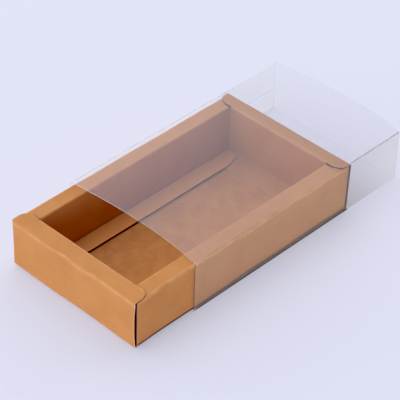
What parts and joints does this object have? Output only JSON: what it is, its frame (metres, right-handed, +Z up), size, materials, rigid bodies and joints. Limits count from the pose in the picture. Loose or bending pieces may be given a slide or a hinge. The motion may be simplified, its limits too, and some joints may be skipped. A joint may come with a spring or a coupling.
{
  "type": "sliding drawer gift box",
  "caption": "Open kraft board tray with rolled hollow walls that slides like a drawer in a clear film sleeve open at both ends.",
  "frame": {"origin": "centre of the flat underside of the sleeve, on the surface that the box stands on", "axes": "+Z up, +Y along the sleeve and away from the drawn-out end of the tray, +X across the box to the right of someone who faces +Y"},
  "size_m": [0.0914, 0.199, 0.036],
  "materials": {
    "kraft_board": "matte",
    "clear_film": "gloss",
    "clear_glue": "gloss"
  },
  "bodies": {
    "sleeve": {"sleeve_top_panel": "clear_film", "sleeve_bottom_panel": "clear_film", "sleeve_right_panel": "clear_film", "sleeve_left_panel": "clear_film", "sleeve_glue_lap": "clear_film", "sleeve_seam_glue": "clear_glue"},
    "tray": {"base_panel": "kraft_board", "front_outer_wall": "kraft_board", "front_rim": "kraft_board", "front_inner_wall": "kraft_board", "front_floor_flap": "kraft_board", "back_outer_wall": "kraft_board", "back_rim": "kraft_board", "back_inner_wall": "kraft_board", "back_floor_flap": "kraft_board", "right_outer_wall": "kraft_board", "right_rim": "kraft_board", "right_inner_wall": "kraft_board", "left_outer_wall": "kraft_board", "left_rim": "kraft_board", "left_inner_wall": "kraft_board", "front_right_corner_tab": "kraft_board", "back_right_corner_tab": "kraft_board", "front_left_corner_tab": "kraft_board", "back_left_corner_tab": "kraft_board"},
    "right_flap": {"right_floor_flap": "kraft_board"},
    "left_flap": {"left_floor_flap": "kraft_board"}
  },
  "joints": [
    {"name": "drawer_slide", "type": "slide", "parent": "sleeve", "child": "tray", "axis": [0, -1, 0], "range_m": [-0.199, 0.119]},
    {"name": "right_flap_crease", "type": "hinge", "parent": "tray", "child": "right_flap", "pos_m": [0.03465, -0.04, 0.00175], "axis": [0, 1, 0], "range_deg": [0, 85]},
    {"name": "left_flap_crease", "type": "hinge", "parent": "tray", "child": "left_flap", "pos_m": [-0.03465, -0.04, 0.00175], "axis": [0, -1, 0], "range_deg": [0, 85]}
  ]
}
